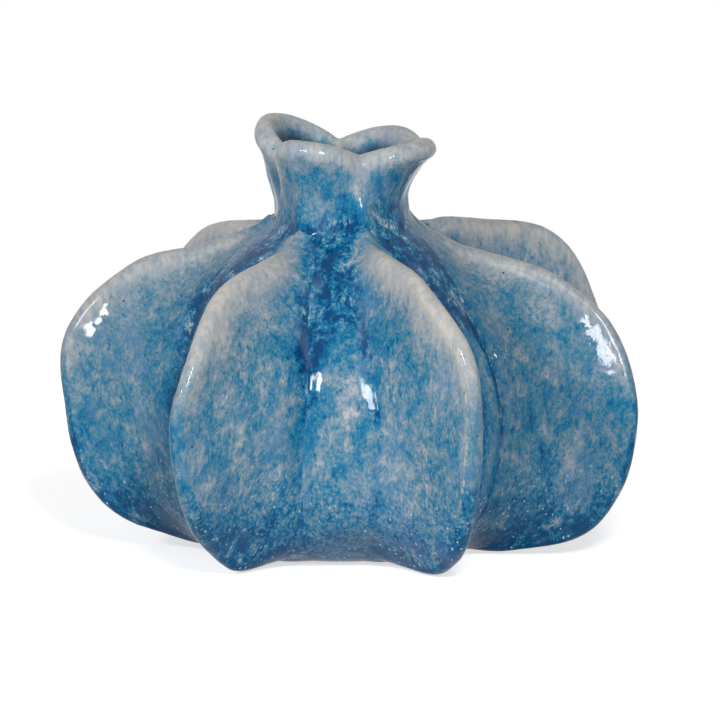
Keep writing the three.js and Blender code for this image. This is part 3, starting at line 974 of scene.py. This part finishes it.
wingGlaze = {
    # angles along the wing between which its edge turns from a side into a crest
    "crestFrom": (-12, 32),
    "bare": (0.15, 1),  # at the sides and along the crest
    "bareFall": 1.2,
    "rootBare": 3,
    "lowCrestWidth": 1.5,
    "crestNarrows": (1, 0.4, 62, 86),
    "neckFade": (1, 0.15, 76, 98),
    "paleReach": 14,
    "paleShare": 0.5,
    "deepReach": 8,
    "underPool": 0.4,
    "underFade": (1, 0, -45, 0),
    "underReach": 9,
    # the tan line along the edge: width, shares at the sides and along the crest, angles it starts at
    "ridge": (1.1, (0.6, 0.8), (-55, -30)),
    "faintRidge": (0.3, 0.6),
    "crispRidge": 0.5,
    "cornerTanAndGlint": (0.55, (-30, -5), (35, 60)),  # a pale line, partly glaze break and partly painted glint: width, angles it comes and goes at
    "dullFrom": (28, 48),
    "dullEdge": 0.6,
    # how far the painted shade beside the root reaches
    "rootShadeReach": 14,
    # width of the pale crest, pool beside the upper root, thickness added, slant of the streaks,
    # grey on the face and painted shade beside the root
    "wing_front_left": (6, 0.68, 0, -0.23, 0, 0),
    "wing_front_right": (6, 0.68, -0.05, 0, 0, 0),
    "wing_right": (3, 0.25, 0.16, -0.16, 0.07, 0.12),
    "wing_back_right": (3, 0.25, 0.12, 0, 0, 0),
    "wing_back": (3, 0.25, 0, 0, 0, 0),
    "wing_back_left": (3, 0.25, 0, 0, 0, 0),
    "wing_left": (3, 0.6, 0.15, 0.28, 0.1, 0),
}


def ridgeLooks(name, tilt, run, rightCorner, leftCorner, crest):
    # glaze breaks to tan along the middle of the edge; on the front right wing's crisp corner the line is
    # partly that and partly a painted glint
    width, shares, start = wingGlaze["ridge"]
    ridge = bell(run - (rightCorner + leftCorner) / 2, width)
    ridge = ridge * lerp(*shares, crest) * smoothstep(tilt, *start) * eased(tilt, *wingGlaze["neckFade"])
    if name == "wing_front_left":
        ridge = ridge * lerp(*wingGlaze["faintRidge"], crest)
    if name == "wing_front_right":
        width, coming, going = wingGlaze["cornerTanAndGlint"]
        corner = bell(run - leftCorner, width) * between(tilt, coming, going)
        ridge = ridge * wingGlaze["crispRidge"] * crest + corner
    return ridge


def wingLooks(name, tilt, height, groove, run, rightCorner, leftCorner, leftRoot):
    # crests are thinly glazed, and the glaze pools beside the roots, under the edges and at the foot
    crestWidth, deepPool, coat, lean, faceGrey, rootShade = wingGlaze[name]
    fromEdge = np.clip(np.maximum(rightCorner - run, run - leftCorner), 0, None)
    fromRoot = np.minimum(run, np.abs(leftRoot - run))
    column = np.arange(run.shape[1])[None, :] - wings["faceColumns"]
    isEdge = ((column >= 0) & (column < wings["edgeColumns"])) * 1.0
    isFront = name in wingNames[:2]
    crest = smoothstep(tilt, *wingGlaze["crestFrom"])
    thin = eased(tilt, *wingGlaze["neckFade"])
    width = lerp(wingGlaze["lowCrestWidth"], crestWidth, crest) * eased(tilt, *wingGlaze["crestNarrows"])
    bare = lerp(*wingGlaze["bare"], crest) * thin * bell(fromEdge, width, wingGlaze["bareFall"])
    if not isFront:
        pale = crest * thin * bell(fromEdge, wingGlaze["paleReach"], wingGlaze["bareFall"])
        bare = lerp(bare, pale, wingGlaze["paleShare"])
    bare = bare * smoothstep(fromRoot, 0, wingGlaze["rootBare"])
    deep = smoothstep(height, *pools["valley"][2:]) * bell(fromRoot, wingGlaze["deepReach"])
    under = eased(tilt, *wingGlaze["underFade"]) + isEdge * (1 - crest)
    under = under * bell(fromEdge, wingGlaze["underReach"])
    footPool, crystal = footLooks(height)
    pool = pools["plain"] + deepPool * deep + eased(height, *pools["groove"]) * groove
    pool = pool + wingGlaze["underPool"] * under + footPool + coat
    dull = bare * smoothstep(tilt, *wingGlaze["dullFrom"])
    if not isFront:
        dull = np.maximum(dull, wingGlaze["dullEdge"] * isEdge)
    return {
        "pool": pool,
        "bare": bare,
        "ridge": ridgeLooks(name, tilt, run, rightCorner, leftCorner, crest),
        "crystal": crystal,
        "lean": lean,
        "dull": dull,
        # grey on the face, and painted shade beside the root
        "paintedShade": faceGrey + rootShade * bell(fromRoot, wingGlaze["rootShadeReach"]),
    }


def makeWing(name):
    angle, local, out = wingSections(name)
    turn = np.radians(wingAzimuth(name, angle))[:, None]
    x = local[..., 1] * np.sin(turn) + local[..., 0] * np.cos(turn)
    y = local[..., 0] * np.sin(turn) - local[..., 1] * np.cos(turn)
    height = np.maximum(local[..., 2], 0)
    azimuth = np.degrees(np.arctan2(x, -y))

    # near the roots the wing follows the grooves and swells of the skin
    shift, groove = skinShift(azimuth, height)[:2]
    follow = 1 - smoothstep(out, 0.0, wings["follow"])
    radius = np.hypot(x, y) + shift * follow

    # arc length along each section from the right root, and where the corners and the left root are on it
    faces, edges = wings["faceColumns"], wings["edgeColumns"]
    run = np.pad(np.cumsum(np.linalg.norm(np.diff(local, axis=1), axis=-1), 1), ((0, 0), (1, 0)))
    marks = [run[:, [place]] for place in (faces - 1, faces + edges, 2 * faces + edges - 1)]
    if name == "wing_right":
        # a soft ridge where the clay was pressed on: a bell curve along the left root
        lift, place, width, growing, fading = wings["seam"]
        radius = radius + lift * between(height, growing, fading) * bell(marks[-1] - run - place, width)
    looks = wingLooks(name, angle[:, None], height, groove * follow, run, *marks)
    makePiece(name, turnedOut(radius, height, azimuth), False, looks)


makeFloor()
makeBelly()
makeMouth()
for name in wingNames:
    makeWing(name)

studio = {
    "cameraPlace": (5, -2472.5, 419),
    "cameraTarget": (4.96, 0, 49.51),
    "lens": 478.75,
    "sensor": 36,
    "lampDistance": 1.5,
    "lampTarget": 0.05,
    # azimuth, elevation, width and height in metres, watts
    "left_softbox": (-40, 26, 0.18, 0.15, 8),
    "right_softbox": (9, 28, 0.27, 0.30, 14.5),
    "roomLight": 0.16,
    "paper": (0.8, 0.9, 0.55),  # half width, reach to the front and to the back in metres
    "paperColour": (0.9, 0.9, 0.9, 1),
    "paperGlow": 0.66,
    "paperRoughness": 0.9,
    "paperGloss": 0.1,
    "white": (1, 1, 1, 1),
}


def aimed(obj, place, target):
    obj.location = place
    obj.rotation_euler = (Vector(target) - Vector(place)).to_track_quat("-Z", "Y").to_euler()


def addSoftbox(name):
    azimuth, elevation, width, height, watts = studio[name]
    lamp = bpy.data.lights.new(name, "AREA")
    lamp.shape = "RECTANGLE"
    lamp.size, lamp.size_y = width, height
    lamp.energy = watts
    out = studio["lampDistance"] * np.cos(np.radians(elevation))
    lift = studio["lampDistance"] * np.sin(np.radians(elevation)) + studio["lampTarget"]
    aimed(placed(name, lamp), turnedOut(out, lift, azimuth), (0, 0, studio["lampTarget"]))


def seenDirectly(tree):
    # 1 for camera, glossy and transmission rays, 0 for the rays that light the object
    ray = addNode(tree, "ShaderNodeLightPath", {}).outputs
    seen = maths(tree, "MAXIMUM", ray["Is Camera Ray"], ray["Is Glossy Ray"])
    return maths(tree, "MAXIMUM", seen, ray["Is Transmission Ray"])


def addCamera():
    lens = bpy.data.cameras.new("photo_camera")
    lens.lens = studio["lens"]
    lens.sensor_width = studio["sensor"]
    camera = placed("photo_camera", lens)
    aimed(camera, np.array(studio["cameraPlace"]) * metre, np.array(studio["cameraTarget"]) * metre)
    bpy.context.scene.camera = camera


def addRoom():
    world = bpy.data.worlds.new("white_room")
    bpy.context.scene.world = world
    world.use_nodes = True
    tree = world.node_tree
    level = ranged(tree, seenDirectly(tree), 0.0, 1.0, studio["roomLight"], 1.0)
    setInputs(tree, tree.nodes["Background"], {"Color": studio["white"], "Strength": level})


def addPaper():
    wide, near, far = studio["paper"]
    corners = [(-wide, -near, 0), (wide, -near, 0), (wide, far, 0), (-wide, far, 0)]
    floor = bpy.data.meshes.new("floor_sheet")
    floor.from_pydata(corners, [], [(0, 1, 2, 3)])
    tree, shader = newMaterial("white_paper")
    setInputs(tree, shader, {
        "Base Color": studio["paperColour"],
        "Roughness": studio["paperRoughness"],
        "Specular IOR Level": studio["paperGloss"],
        "Emission Color": studio["white"],
        "Emission Strength": ranged(tree, seenDirectly(tree), 0.0, 1.0, 0.0, studio["paperGlow"]),
    })
    floor.materials.append(bpy.data.materials["white_paper"])
    sheet = placed("floor_sheet", floor)


bpy.context.scene.view_settings.view_transform = "Standard"
addCamera()
addSoftbox("left_softbox")
addSoftbox("right_softbox")
addRoom()
addPaper()
print("studio lit")
